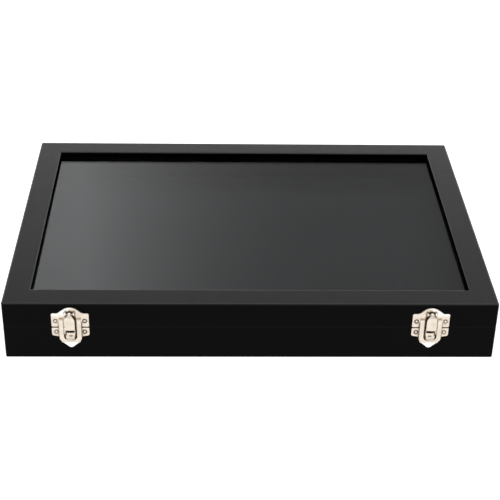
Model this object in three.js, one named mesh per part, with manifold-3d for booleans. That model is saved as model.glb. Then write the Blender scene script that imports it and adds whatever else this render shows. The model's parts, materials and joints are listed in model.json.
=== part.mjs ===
// A glazed display case for coins: a leatherette-covered box with a velvet pad, and a glass lid
// on two butt hinges that two nickel latches hold shut.
// Millimetres, +Z up, front towards -Y, origin in the middle of the underside.
import * as THREE from "three";
import { mergeVertices } from "three/addons/utils/BufferGeometryUtils.js";
import Module from "manifold-3d";

const wasm = await Module();
wasm.setup();

// Whole case
const caseWidth = 350;
const caseDepth = 250;
const baseHeight = 26.4;
const lidHeight = 19.2;
const seamGap = 0.4; // open line between the closed lid and the base
const cornerRadius = 1.5;
const glueLine = 0.1; // room left between pieces that are glued or laid together
const leatherThickness = 0.6;

// Base box
const wallThickness = 8;
const floorThickness = 3;
const footSheetThickness = 0.6;
const footSheetInset = 1.5;
const wrapLift = 0.2; // the wrap stops this far above the table
const rimTurnDown = 9; // how far the wrap goes down inside the rim
const liningThickness = 0.8;

// Pad that the coins lie on
const padFoamHeight = 13;
const padVelvetThickness = 1;
const padClearance = 1;

// Lid frame and glazing
const railWidth = 18.5; // seen from above, wrap included
const glassRecess = 4.6; // lid top down to the pane
const glassThickness = 2;
const glassLap = 8; // how far the rails' lip covers the pane's edge
const glassClearance = 0.5;
const beadWidth = 7;
const beadHeight = 6;
const beadChamfer = 2;
const wrapToBead = 2; // the wrap goes up inside the lid to this far below the beads

// Latches: heights are above or below the seam, "proud" is out from the front face
const latchInset = 47.5; // case side to latch centre
const plateThickness = 0.8;
const plateHalfWidth = 13.3;
const plateSlit = 0.7; // open line between the two plates
const plateCorner = 1.3;
const lidEarTop = 11.6;
const archHalfWidth = 8.7;
const archTop = 16.3;
const baseEarBottom = 7.5;
const baseWaist = { halfWidth: 7.6, drop: 10.9 }; // where the base plate's ears end
const baseNotch = { halfWidth: 6.6, drop: 13.6 }; // where its pointed foot starts
const baseTip = { halfWidth: 2.6, drop: 17.9, rounding: 1.1 };
const earSweep = { halfWidth: 10, drop: 0.4 }; // lower edge of an ear, curving in to the waist
const channelHalfWidth = 7.85;
const channelTop = 7.4;
const channelBottom = 11.3;
const channelCorner = { width: 2.4, height: 2.1 };
const channelFloor = 10.2;
const channelFloorRounding = 3.8;
const channelProud = 2.6;
const channelClearance = 0.3; // in front of the lid's plate
const lidNailSpread = 10.2;
const lidNailHeight = 5.3;
const baseNailSpread = 9.9;
const baseNailDrop = 3.9;

// Strap, its pin and lugs
const strapHalfWidth = 4;
const strapSideClearance = 0.55;
const strapThickness = 1;
const strapEnd = 9.1;
const strapSlotHalfWidth = 3.45;
const strapSlotTop = 0.3;
const strapSlotHeight = 2.3;
const strapWaistBelowSlot = 0.2;
const lipHalfWidth = 3.2;
const lipTop = 4.2;
const lipRounding = 3;
const neckHalfWidth = 2.2;
const shoulderHeight = 1;
// Middle of the strap's sheet from pin to lip: how proud it is at each height.
const strapBend = [
  { proud: 3.4, height: 12 },
  { proud: 4.1, height: 8.6 },
  { proud: 4.4, height: 5 },
  { proud: 4.3, height: 1.4 },
  { proud: 3.8, height: -0.6 },
  { proud: 2.95, height: -2.6 },
  { proud: 2.95, height: -4.4 },
  { proud: 3.8, height: -6.9 },
  { proud: 4.6, height: -9.1 },
];
const strapPinHeight = 12;
const strapPinProud = 2.6;
const strapPinRadius = 0.5;
const strapKnuckleRadius = 1.4;
const lugThickness = 1;
const lugGap = 0.3; // along the pin, between lug and knuckle
const toothHalfWidth = 2.6;
const toothProud = 1.9;
const toothHeight = 1.1;

// Hinges
const hingeInset = 65; // case side to hinge centre
const hingeWidth = 25;
const leafThickness = 0.8;
const leafHeight = 12; // from the pin's centre
const barrelRadius = 1.5;
const hingePinRadius = 0.7;
const knuckleCount = 5;
const knuckleGap = 0.25;
const leafCutGap = 0.3; // leaf edge to the other leaf's knuckles
const lidOpenAngle = THREE.MathUtils.degToRad(105);
const stopLugLength = 3.4;
const stopLugThickness = 0.9;
const hingeScrewSpread = 7.5;
const hingeScrewDrop = 7;

// Fasteners
const pinClearance = 0.06; // radial, pins in their bores
const shankClearance = 0.15; // radial, nails and screws in their holes
const nail = { headRadius: 1.2, headHeight: 0.6, shankRadius: 0.5, shankLength: 6 };
const screw = { headRadius: 1.5, headHeight: 0.8, shankRadius: 0.8, shankLength: 7 };
const shankSides = 8;
const headSides = 12;
const barrelSides = 24;
const curveSteps = 6;
const strapSteps = 24;
const throughCut = 1; // cutting tools reach this far past a face

// Levels and half sizes that follow
const halfWidth = caseWidth / 2;
const halfDepth = caseDepth / 2;
const boardInset = leatherThickness + glueLine;
const seamHeight = baseHeight + seamGap / 2;
const lidBottom = baseHeight + seamGap;
const caseTop = lidBottom + lidHeight;
const boardFoot = footSheetThickness + glueLine;
const floorTop = boardFoot + floorThickness;
const wallTop = baseHeight - boardInset;
const wallInset = boardInset + wallThickness; // case side to the walls' inner faces
const glassTop = caseTop - glassRecess;
const glassBottom = glassTop - glassThickness;
const lipWidth = railWidth - 2 * boardInset;
const legThickness = lipWidth - glassLap;
const legInset = boardInset + legThickness;
const beadTop = glassBottom - glueLine;
const beadFoot = beadTop - beadHeight;
const latchX = halfWidth - latchInset;
const hingeX = halfWidth - hingeInset;
const hingeAxisOut = glueLine + barrelRadius; // back face to the pin's centre
const hingeAxisY = halfDepth + hingeAxisOut;
const plateProud = glueLine + plateThickness;
const leafProud = glueLine + leafThickness;

// Finishes
const leather = () => new THREE.MeshStandardMaterial({ color: 0x141415, roughness: 0.55, metalness: 0 });
const board = () => new THREE.MeshStandardMaterial({ color: 0x9c7b56, roughness: 0.85, metalness: 0 });
const velvet = () => new THREE.MeshStandardMaterial({ color: 0x0c0c0e, roughness: 0.95, metalness: 0 });
const foam = () => new THREE.MeshStandardMaterial({ color: 0x3a3a3c, roughness: 0.9, metalness: 0 });
const paper = () => new THREE.MeshStandardMaterial({ color: 0x1b1b1c, roughness: 0.9, metalness: 0 });
const nickel = () => new THREE.MeshStandardMaterial({ color: 0xe6ddd0, roughness: 0.22, metalness: 1 });
const glass = () =>
  new THREE.MeshStandardMaterial({
    color: 0xdfe8e6,
    roughness: 0.03,
    metalness: 0,
    transparent: true,
    opacity: 0.3,
  });

// A named mesh in its group.
function addPiece(group, name, geometry, material) {
  const mesh = new THREE.Mesh(geometry, material);
  mesh.name = name;
  group.add(mesh);
  return mesh;
}

// Solids that can be joined and cut.
function solidOf(geometry) {
  const bare = geometry.clone();
  bare.deleteAttribute("normal");
  bare.deleteAttribute("uv");
  const merged = mergeVertices(bare, 1e-4);
  return new wasm.Manifold(
    new wasm.Mesh({
      numProp: 3,
      vertProperties: merged.attributes.position.array,
      triVerts: Uint32Array.from(merged.index.array),
    }),
  );
}

function geometryOf(solid) {
  const { vertProperties, triVerts } = solid.getMesh();
  const indexed = new THREE.BufferGeometry();
  indexed.setAttribute("position", new THREE.BufferAttribute(vertProperties, 3));
  indexed.setIndex(new THREE.BufferAttribute(triVerts, 1));
  const geometry = indexed.toNonIndexed();
  geometry.computeVertexNormals();
  return geometry;
}

function cut(geometry, tools) {
  return geometryOf(tools.reduce((solid, tool) => solid.subtract(solidOf(tool)), solidOf(geometry)));
}

function join(geometries) {
  return geometryOf(geometries.map(solidOf).reduce((whole, next) => whole.add(next)));
}

function extruded(shape, depth) {
  return new THREE.ExtrudeGeometry(shape, { depth, bevelEnabled: false, curveSegments: curveSteps });
}

// A flat outline in X and Y, lifted from one height to another.
function prismUp(shape, low, high) {
  return extruded(shape, high - low).translate(0, 0, low);
}

// An outline in X and Z, thickened out from the front face.
function prismOut(shape, fromProud, toProud) {
  return extruded(shape, toProud - fromProud)
    .translate(0, 0, fromProud)
    .rotateX(Math.PI / 2);
}

// A section in Y and Z, carried along X.
function prismAlong(shape, fromX, toX) {
  const toRow = new THREE.Matrix4().makeBasis(
    new THREE.Vector3(0, 1, 0),
    new THREE.Vector3(0, 0, 1),
    new THREE.Vector3(1, 0, 0),
  );
  return extruded(shape, toX - fromX)
    .translate(0, 0, fromX)
    .applyMatrix4(toRow);
}

function block(lowX, highX, lowY, highY, lowZ, highZ) {
  return new THREE.BoxGeometry(highX - lowX, highY - lowY, highZ - lowZ).translate(
    (lowX + highX) / 2,
    (lowY + highY) / 2,
    (lowZ + highZ) / 2,
  );
}

// The case's rectangle, drawn in from its sides by an inset.
function slab(inset, low, high) {
  return block(-halfWidth + inset, halfWidth - inset, -halfDepth + inset, halfDepth - inset, low, high);
}

function roundedSlab(low, high) {
  const outline = new THREE.Shape();
  const r = cornerRadius;
  outline.moveTo(-halfWidth + r, -halfDepth);
  outline.lineTo(halfWidth - r, -halfDepth);
  outline.absarc(halfWidth - r, -halfDepth + r, r, -Math.PI / 2, 0);
  outline.lineTo(halfWidth, halfDepth - r);
  outline.absarc(halfWidth - r, halfDepth - r, r, 0, Math.PI / 2);
  outline.lineTo(-halfWidth + r, halfDepth);
  outline.absarc(-halfWidth + r, halfDepth - r, r, Math.PI / 2, Math.PI);
  outline.lineTo(-halfWidth, -halfDepth + r);
  outline.absarc(-halfWidth + r, -halfDepth + r, r, Math.PI, 1.5 * Math.PI);
  return prismUp(outline, low, high);
}

function cylinderAlongX(x, y, z, radius, length, sides) {
  return new THREE.CylinderGeometry(radius, radius, length, sides).rotateZ(Math.PI / 2).translate(x, y, z);
}

// A hole tool through the front face or, with side 1, the back face.
function shankHole(fastener, x, z, side = -1) {
  const radius = fastener.shankRadius + shankClearance;
  const length = 2 * (fastener.shankLength + throughCut);
  return new THREE.CylinderGeometry(radius, radius, length, shankSides).translate(x, side * halfDepth, z);
}

// Mirrors half an outline, drawn from X = 0 round to X = 0, into a whole one.
function symmetricShape(half) {
  const right = half.getPoints(curveSteps);
  const left = right
    .slice(1, -1)
    .reverse()
    .map((point) => new THREE.Vector2(-point.x, point.y));
  return new THREE.Shape([...right, ...left]);
}

// A frame member with mitred ends. Its section gives inset from the case side and height.
function mitredBar(section, alongHalf, acrossHalf) {
  const bar = extruded(new THREE.Shape(section), 1);
  const position = bar.getAttribute("position");
  for (let i = 0; i < position.count; i++) {
    const inset = position.getX(i);
    const height = position.getY(i);
    const end = position.getZ(i) > 0.5 ? 1 : -1;
    position.setXYZ(i, end * (alongHalf - inset - glueLine), -acrossHalf + inset, height);
  }
  bar.computeVertexNormals();
  return bar;
}

// Four members round the case, named after their sides. Holes are given for the front and back ones.
function memberRing(group, name, section, material, holes = {}) {
  const sides = [
    { side: "front", turn: 0, along: halfWidth, across: halfDepth },
    { side: "right", turn: Math.PI / 2, along: halfDepth, across: halfWidth },
    { side: "back", turn: Math.PI, along: halfWidth, across: halfDepth },
    { side: "left", turn: -Math.PI / 2, along: halfDepth, across: halfWidth },
  ];
  for (const { side, turn, along, across } of sides) {
    const bar = mitredBar(section, along, across);
    const geometry = holes[side] ? cut(bar, holes[side]) : bar;
    addPiece(group, name(side), geometry, material()).rotation.z = turn;
  }
}

function points(...pairs) {
  return pairs.map(([x, y]) => new THREE.Vector2(x, y));
}

// Turned fastener along Y, its head towards +Y and its seat at 0.
function fastenerGeometry({ headRadius, headHeight, shankRadius, shankLength }) {
  const dome = [0, 0.25, 0.5, 0.75].map((share) => {
    const angle = (share * Math.PI) / 2;
    return new THREE.Vector2(headRadius * Math.cos(angle), headHeight * Math.sin(angle));
  });
  const profile = [
    ...points([0, -shankLength], [shankRadius, -shankLength], [shankRadius, 0]),
    ...dome,
    new THREE.Vector2(0, headHeight),
  ];
  return new THREE.LatheGeometry(profile, headSides);
}

// Base box
function addBaseBox(group) {
  const latchHoles = latchNailPlaces(-1).map(([x, z]) => shankHole(nail, x, z));
  const hingeHoles = hingeScrewPlaces(-1).map(([x, z]) => shankHole(screw, x, z, 1));
  const backHolesSeenFromFront = hingeScrewPlaces(-1).map(([x, z]) => shankHole(screw, x, z));
  const wall = points(
    [boardInset, boardFoot],
    [wallInset, boardFoot],
    [wallInset, wallTop],
    [boardInset, wallTop],
  );
  memberRing(group, (side) => `base_${side}_wall`, wall, board, {
    front: latchHoles,
    back: backHolesSeenFromFront,
  });
  addPiece(group, "base_bottom_panel", slab(wallInset + glueLine, boardFoot, floorTop), board());
  addPiece(group, "foot_sheet", slab(footSheetInset, 0, footSheetThickness), paper());

  const innerFace = wallInset + glueLine; // the turned-down wrap and the lining start here
  const wallRoom = solidOf(slab(leatherThickness, -throughCut, baseHeight - leatherThickness));
  const turnedDown = solidOf(slab(innerFace, baseHeight - rimTurnDown, baseHeight));
  const wrap = solidOf(roundedSlab(wrapLift, baseHeight))
    .subtract(wallRoom.subtract(turnedDown))
    .subtract(solidOf(slab(innerFace + leatherThickness, -throughCut, baseHeight + throughCut)));
  addPiece(group, "base_leather_wrap", cut(geometryOf(wrap), [...latchHoles, ...hingeHoles]), leather());

  const liningFoot = floorTop + glueLine;
  const liningRoom = slab(innerFace + liningThickness, liningFoot + liningThickness, baseHeight);
  const liningTop = baseHeight - rimTurnDown - glueLine;
  addPiece(group, "tray_lining", cut(slab(innerFace, liningFoot, liningTop), [liningRoom]), velvet());

  const padFoot = liningFoot + liningThickness + glueLine;
  const padInset = innerFace + liningThickness + padClearance;
  const foamInset = padInset + padVelvetThickness + glueLine;
  const foamTop = padFoot + padFoamHeight;
  const foamRoom = slab(foamInset - glueLine, padFoot - throughCut, foamTop + glueLine);
  const padTop = foamTop + glueLine + padVelvetThickness;
  addPiece(group, "pad_foam", slab(foamInset, padFoot, foamTop), foam());
  addPiece(group, "pad_velvet", cut(slab(padInset, padFoot, padTop), [foamRoom]), velvet());
}

// Lid frame, wrap, pane and beads
function addLidFrame(group) {
  const latchHoles = latchNailPlaces(1).map(([x, z]) => shankHole(nail, x, z));
  const hingeHoles = hingeScrewPlaces(1).map(([x, z]) => shankHole(screw, x, z, 1));
  const backHolesSeenFromFront = hingeScrewPlaces(1).map(([x, z]) => shankHole(screw, x, z));
  const lipInset = boardInset + lipWidth;
  const rail = points(
    [boardInset, lidBottom + boardInset],
    [legInset, lidBottom + boardInset],
    [legInset, glassTop + glueLine],
    [lipInset, glassTop + glueLine],
    [lipInset, caseTop - boardInset],
    [boardInset, caseTop - boardInset],
  );
  memberRing(group, (side) => `lid_${side}_rail`, rail, board, {
    front: latchHoles,
    back: backHolesSeenFromFront,
  });

  const legFace = legInset + glueLine;
  const inside = solidOf(slab(leatherThickness, lidBottom + leatherThickness, caseTop - leatherThickness));
  const windowEdge = solidOf(slab(railWidth - leatherThickness, glassTop + glueLine, caseTop));
  const turnUpTop = beadFoot - wrapToBead;
  const turnedUp = solidOf(slab(legFace, lidBottom, turnUpTop));
  const wrap = solidOf(roundedSlab(lidBottom, caseTop))
    .subtract(inside.subtract(windowEdge).subtract(turnedUp))
    .subtract(solidOf(slab(railWidth, lidBottom - throughCut, caseTop + throughCut)))
    .subtract(solidOf(slab(legFace + leatherThickness, lidBottom - throughCut, turnUpTop + throughCut)));
  addPiece(group, "lid_leather_wrap", cut(geometryOf(wrap), [...latchHoles, ...hingeHoles]), leather());

  addPiece(group, "glass_pane", slab(legInset + glassClearance, glassBottom, glassTop), glass());
  const beadInner = legFace + beadWidth;
  const bead = points(
    [legFace, beadFoot],
    [beadInner - beadChamfer, beadFoot],
    [beadInner, beadFoot + beadChamfer],
    [beadInner, beadTop],
    [legFace, beadTop],
  );
  memberRing(group, (side) => `glass_bead_${side}`, bead, velvet);
}

// Latch nails as [x, height] in the case's frame: side 1 is the lid's, -1 the base's.
function latchNailPlaces(side) {
  const spread = side > 0 ? lidNailSpread : baseNailSpread;
  const rise = side > 0 ? lidNailHeight : -baseNailDrop;
  return [-latchX, latchX].flatMap((x) => [
    [x - spread, seamHeight + rise],
    [x + spread, seamHeight + rise],
  ]);
}

function hingeScrewPlaces(side) {
  return [-hingeX, hingeX].flatMap((x) => [
    [x - hingeScrewSpread, seamHeight + side * hingeScrewDrop],
    [x + hingeScrewSpread, seamHeight + side * hingeScrewDrop],
  ]);
}

// Lid plate of a latch: arched top, square ears and two lugs for the strap's pin.
function haspPlate() {
  const half = new THREE.Path();
  half.moveTo(0, plateSlit / 2);
  half.lineTo(plateHalfWidth, plateSlit / 2);
  half.lineTo(plateHalfWidth, lidEarTop - plateCorner);
  half.quadraticCurveTo(plateHalfWidth, lidEarTop, plateHalfWidth - plateCorner, lidEarTop);
  half.lineTo(archHalfWidth, lidEarTop);
  half.quadraticCurveTo(archHalfWidth / 2, archTop, 0, archTop);
  const plate = prismOut(symmetricShape(half), glueLine, plateProud);

  const lugSide = new THREE.Shape();
  const root = -(plateProud - plateThickness / 2);
  lugSide.moveTo(root, strapPinHeight + strapKnuckleRadius);
  lugSide.lineTo(-strapPinProud, strapPinHeight + strapKnuckleRadius);
  lugSide.absarc(-strapPinProud, strapPinHeight, strapKnuckleRadius, Math.PI / 2, 1.5 * Math.PI);
  lugSide.lineTo(root, strapPinHeight - strapKnuckleRadius);
  const lugInner = neckHalfWidth + lugGap;
  const lugs = [
    prismAlong(lugSide, lugInner, lugInner + lugThickness),
    prismAlong(lugSide, -lugInner - lugThickness, -lugInner),
  ];
  const holes = [-lidNailSpread, lidNailSpread].map((x) =>
    shankHole(nail, x, lidNailHeight).translate(0, halfDepth, 0),
  );
  return cut(join([plate, ...lugs]), [strapPinBore(), ...holes]);
}

function strapPinBore() {
  const length = 2 * (neckHalfWidth + lugGap + lugThickness + throughCut);
  const radius = strapPinRadius + pinClearance;
  return cylinderAlongX(0, -strapPinProud, strapPinHeight, radius, length, headSides);
}

// Base plate of a latch: square ears, a pointed foot, and a raised channel that the strap lies in.
function catchPlate() {
  const half = new THREE.Path();
  half.moveTo(0, -baseTip.drop);
  const tipShoulder = -baseTip.drop + baseTip.rounding;
  half.quadraticCurveTo(baseTip.halfWidth / 2, -baseTip.drop, baseTip.halfWidth, tipShoulder);
  half.lineTo(baseNotch.halfWidth, -baseNotch.drop);
  half.lineTo(baseWaist.halfWidth, -baseWaist.drop);
  const sweepEnd = -baseEarBottom - earSweep.drop;
  half.quadraticCurveTo(baseWaist.halfWidth, sweepEnd, earSweep.halfWidth, sweepEnd);
  half.lineTo(plateHalfWidth - plateCorner, -baseEarBottom);
  half.quadraticCurveTo(plateHalfWidth, -baseEarBottom, plateHalfWidth, -baseEarBottom + plateCorner);
  half.lineTo(plateHalfWidth, -plateSlit / 2);
  half.lineTo(0, -plateSlit / 2);
  const plate = prismOut(symmetricShape(half), glueLine, plateProud);

  const groove = strapHalfWidth + strapSideClearance;
  const rim = new THREE.Path();
  rim.moveTo(0, -channelBottom);
  rim.lineTo(channelHalfWidth - channelCorner.width, -channelBottom);
  rim.lineTo(channelHalfWidth, -channelBottom + channelCorner.height);
  rim.lineTo(channelHalfWidth, channelTop);
  rim.lineTo(groove, channelTop);
  rim.lineTo(groove, -channelFloor + channelFloorRounding);
  rim.quadraticCurveTo(groove, -channelFloor, 0, -channelFloor);
  const midPlate = plateProud - plateThickness / 2;
  const rimBody = prismOut(symmetricShape(rim), midPlate, channelProud);
  const clearOfLid = block(
    -channelHalfWidth - throughCut,
    channelHalfWidth + throughCut,
    -plateProud - channelClearance,
    0,
    -plateSlit / 2,
    channelTop + throughCut,
  );
  const toothTop = -strapSlotTop - (strapSlotHeight - toothHeight) / 2;
  const tooth = block(
    -toothHalfWidth,
    toothHalfWidth,
    -toothProud,
    -midPlate,
    toothTop - toothHeight,
    toothTop,
  );
  const holes = [-baseNailSpread, baseNailSpread].map((x) =>
    shankHole(nail, x, -baseNailDrop).translate(0, halfDepth, 0),
  );
  return cut(join([plate, cut(rimBody, [clearOfLid]), tooth]), holes);
}

// Strap: a bent strip rolled round its pin, slotted over the tooth and curled out at its end.
function strap() {
  const centreLine = new THREE.SplineCurve(
    strapBend.map(({ proud, height }) => new THREE.Vector2(-proud, height)),
  );
  const sides = Array.from({ length: strapSteps + 1 }, (_, i) => {
    const at = centreLine.getPoint(i / strapSteps);
    const along = centreLine.getTangent(i / strapSteps);
    const across = new THREE.Vector2(along.y, -along.x).multiplyScalar(strapThickness / 2);
    return { outer: at.clone().add(across), inner: at.clone().sub(across) };
  });
  const section = new THREE.Shape([
    ...sides.map(({ outer }) => outer),
    ...sides.map(({ inner }) => inner).reverse(),
  ]);
  const strip = prismAlong(section, -strapHalfWidth, strapHalfWidth);
  const knuckle = cylinderAlongX(
    0,
    -strapPinProud,
    strapPinHeight,
    strapKnuckleRadius,
    2 * neckHalfWidth,
    headSides * 2,
  );

  const half = new THREE.Path();
  const neckFoot = strapPinHeight - strapKnuckleRadius - lugGap;
  half.moveTo(0, -strapEnd);
  half.quadraticCurveTo(lipHalfWidth, -strapEnd, lipHalfWidth, -strapEnd + lipRounding);
  half.lineTo(lipHalfWidth, -lipTop);
  half.lineTo(strapHalfWidth, -strapSlotTop - strapSlotHeight - strapWaistBelowSlot);
  half.lineTo(strapHalfWidth, neckFoot - shoulderHeight);
  half.lineTo(neckHalfWidth, neckFoot);
  half.lineTo(neckHalfWidth, strapPinHeight + strapKnuckleRadius + throughCut);
  half.lineTo(0, strapPinHeight + strapKnuckleRadius + throughCut);
  const front = prismOut(symmetricShape(half), 0, strapPinProud + 2 * strapKnuckleRadius + throughCut);
  const slot = block(
    -strapSlotHalfWidth,
    strapSlotHalfWidth,
    -strapPinProud - 2 * strapKnuckleRadius,
    0,
    -strapSlotTop - strapSlotHeight,
    -strapSlotTop,
  );
  const body = solidOf(join([strip, knuckle])).intersect(solidOf(front));
  return cut(geometryOf(body), [strapPinBore(), slot]);
}

function addLatch(baseGroup, lidGroup, strapGroup, name, x) {
  const place = (mesh) => mesh.position.set(x, -halfDepth, seamHeight);
  place(addPiece(lidGroup, `${name}_hasp_plate`, haspPlate(), nickel()));
  place(addPiece(baseGroup, `${name}_catch_plate`, catchPlate(), nickel()));
  place(addPiece(strapGroup, `${name}_strap`, strap(), nickel()));
  const pinLength = 2 * (neckHalfWidth + lugGap + lugThickness + glueLine);
  const pin = cylinderAlongX(0, -strapPinProud, strapPinHeight, strapPinRadius, pinLength, headSides);
  place(addPiece(lidGroup, `${name}_strap_pin`, pin, nickel()));

  const addNails = (group, label, spread, height) => {
    [-spread, spread].forEach((offset, i) => {
      const mesh = addPiece(group, `${name}_${label}_nail_${i + 1}`, fastenerGeometry(nail), nickel());
      mesh.rotation.x = Math.PI;
      mesh.position.set(x + offset, -halfDepth - plateProud - glueLine, seamHeight + height);
    });
  };
  addNails(lidGroup, "hasp", lidNailSpread, lidNailHeight);
  addNails(baseGroup, "catch", baseNailSpread, -baseNailDrop);
}

// One hinge leaf about the pin's centre. side is 1 for the lid's, -1 for the base's.
// The base leaf has the odd knuckles and the lid leaf the even ones.
function hingeLeaf(side) {
  const pitch = (hingeWidth + knuckleGap) / knuckleCount;
  const face = -hingeAxisOut + glueLine;
  const plate = block(
    -hingeWidth / 2,
    hingeWidth / 2,
    face,
    face + leafThickness,
    side > 0 ? barrelRadius + leafCutGap : -leafHeight,
    side > 0 ? leafHeight : -barrelRadius - leafCutGap,
  );
  const parts = [plate];
  for (let i = side > 0 ? 1 : 0; i < knuckleCount; i += 2) {
    const from = -hingeWidth / 2 + i * pitch;
    const to = from + pitch - knuckleGap;
    const reach = side * (barrelRadius + leafCutGap + throughCut);
    parts.push(cylinderAlongX((from + to) / 2, 0, 0, barrelRadius, to - from, barrelSides));
    parts.push(block(from, to, face, face + leafThickness, Math.min(0, reach), Math.max(0, reach)));
    if (side > 0) parts.push(stopLug(from, to, face + leafThickness));
  }
  const bore = cylinderAlongX(0, 0, 0, hingePinRadius + pinClearance, hingeWidth + throughCut, barrelSides);
  const holes = [-hingeScrewSpread, hingeScrewSpread].map((x) =>
    shankHole(screw, x, side * hingeScrewDrop).translate(0, halfDepth, 0),
  );
  return cut(join(parts), [bore, ...holes]);
}

// A tab on the lid's knuckle that lands on the base leaf when the lid is fully open.
function stopLug(from, to, leafFace) {
  const near = leafFace + glueLine;
  const far = near + stopLugThickness;
  const open = points([near, -stopLugLength], [far, -stopLugLength], [far, 0], [near, 0]);
  const closed = open.map((point) => point.rotateAround(new THREE.Vector2(), lidOpenAngle));
  return prismAlong(new THREE.Shape(closed), from, to);
}

function addHinge(baseGroup, lidGroup, name, x) {
  const place = (mesh) => mesh.position.set(x, hingeAxisY, seamHeight);
  place(addPiece(baseGroup, `${name}_hinge_base_leaf`, hingeLeaf(-1), nickel()));
  place(addPiece(lidGroup, `${name}_hinge_lid_leaf`, hingeLeaf(1), nickel()));
  const pin = cylinderAlongX(0, 0, 0, hingePinRadius, hingeWidth, barrelSides);
  place(addPiece(baseGroup, `${name}_hinge_pin`, pin, nickel()));

  const addScrews = (group, label, side) => {
    [-hingeScrewSpread, hingeScrewSpread].forEach((offset, i) => {
      const screwName = `${name}_hinge_${label}_screw_${i + 1}`;
      const mesh = addPiece(group, screwName, fastenerGeometry(screw), nickel());
      mesh.position.set(x + offset, halfDepth + leafProud + glueLine, seamHeight + side * hingeScrewDrop);
    });
  };
  addScrews(baseGroup, "base", -1);
  addScrews(lidGroup, "lid", 1);
}

const displayCase = new THREE.Group();
const base = new THREE.Group();
const lid = new THREE.Group();
displayCase.add(base, lid);
addBaseBox(base);
addLidFrame(lid);
for (const [name, side] of [["left", -1], ["right", 1]]) {
  const strapGroup = new THREE.Group();
  lid.add(strapGroup);
  addLatch(base, lid, strapGroup, name, side * latchX);
  addHinge(base, lid, name, side * hingeX);
}

export default displayCase;
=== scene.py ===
import json
import math

import bmesh
import bpy
import numpy as np
from mathutils import Matrix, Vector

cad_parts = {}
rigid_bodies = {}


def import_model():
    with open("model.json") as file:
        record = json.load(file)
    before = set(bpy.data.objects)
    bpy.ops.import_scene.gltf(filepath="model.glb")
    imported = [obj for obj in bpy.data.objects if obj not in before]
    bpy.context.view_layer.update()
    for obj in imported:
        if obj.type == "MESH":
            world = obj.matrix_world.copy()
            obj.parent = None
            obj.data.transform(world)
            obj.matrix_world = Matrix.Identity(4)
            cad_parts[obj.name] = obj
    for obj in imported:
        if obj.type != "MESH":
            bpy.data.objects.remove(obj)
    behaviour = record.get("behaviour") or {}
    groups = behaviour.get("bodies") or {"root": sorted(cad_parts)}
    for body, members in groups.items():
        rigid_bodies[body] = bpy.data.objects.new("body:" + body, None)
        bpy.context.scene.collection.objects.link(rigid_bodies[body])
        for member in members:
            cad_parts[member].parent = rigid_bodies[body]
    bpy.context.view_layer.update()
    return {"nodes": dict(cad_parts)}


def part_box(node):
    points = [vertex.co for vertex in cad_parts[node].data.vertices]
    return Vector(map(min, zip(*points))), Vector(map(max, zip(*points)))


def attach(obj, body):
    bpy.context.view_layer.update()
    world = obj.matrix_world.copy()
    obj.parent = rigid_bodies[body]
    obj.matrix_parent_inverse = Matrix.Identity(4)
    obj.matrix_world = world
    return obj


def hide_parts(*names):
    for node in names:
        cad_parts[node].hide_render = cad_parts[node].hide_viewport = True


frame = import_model()
nodes = frame["nodes"]
mm = 0.001
print("loaded", len(nodes), "CAD pieces")


# A shell is its points in millimetres, its quads and its many-sided caps.
def roundLoop(corners, cuts, steps=5):
    # Corner c of a closed outline becomes (1-t)^2 a + 2t(1-t) c + t^2 b, where a and b lie
    # the corner's cut away from c along its two sides. One more point beyond a and one beyond b
    # keep the straight sides flat where they are shaded smooth.
    c = np.asarray(corners, float)
    cut = np.broadcast_to(np.asarray(cuts, float), len(c))[:, None]
    before, after = np.roll(c, 1, 0) - c, np.roll(c, -1, 0) - c
    sideBefore = np.linalg.norm(before, axis=1, keepdims=True)
    sideAfter = np.linalg.norm(after, axis=1, keepdims=True)
    spareBefore = np.clip((sideBefore - cut - np.roll(cut, 1, 0)) / 3, 0.01, 0.3)
    spareAfter = np.clip((sideAfter - cut - np.roll(cut, -1, 0)) / 3, 0.01, 0.3)
    before, after = before / sideBefore, after / sideAfter
    a, b = c + cut * before, c + cut * after
    t = np.linspace(0, 1, steps)[None, :, None]
    bend = (1 - t) ** 2 * a[:, None] + 2 * t * (1 - t) * c[:, None] + t * t * b[:, None]
    first, last = a + spareBefore * before, b + spareAfter * after
    return np.concatenate([first[:, None], bend, last[:, None]], 1).reshape(-1, 2)


def spacedLoop(loop, spacing):
    # A closed outline with its own corners and more points between them, about spacing apart.
    closed = np.vstack([loop, loop[:1]])
    run = np.concatenate([[0], np.cumsum(np.linalg.norm(np.diff(closed, axis=0), axis=1))])
    even = np.linspace(0, run[-1], max(8, int(run[-1] / spacing)), endpoint=False)
    at = np.unique(np.round(np.concatenate([even, run[:-1]]), 4))
    at = at[np.concatenate([[True], np.diff(at) > spacing * 0.04])]
    return np.stack([np.interp(at, run, closed[:, 0]), np.interp(at, run, closed[:, 1])], -1)


def ringShell(rings, loop=False):
    # rings[k, n] are points: ring k joins ring k + 1, and each ring closes round itself.
    # With loop the last ring joins the first one, and otherwise both end rings are capped.
    count, size = rings.shape[:2]
    index = np.arange(count * size).reshape(count, size)
    rows = np.vstack([index, index[:1]]) if loop else index
    a, b = rows[:-1], rows[1:]
    quads = np.stack([a, np.roll(a, -1, 1), np.roll(b, -1, 1), b], -1).reshape(-1, 4)
    caps = [] if loop else [index[0][::-1], index[-1]]
    return rings.reshape(-1, 3), quads, caps


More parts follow.
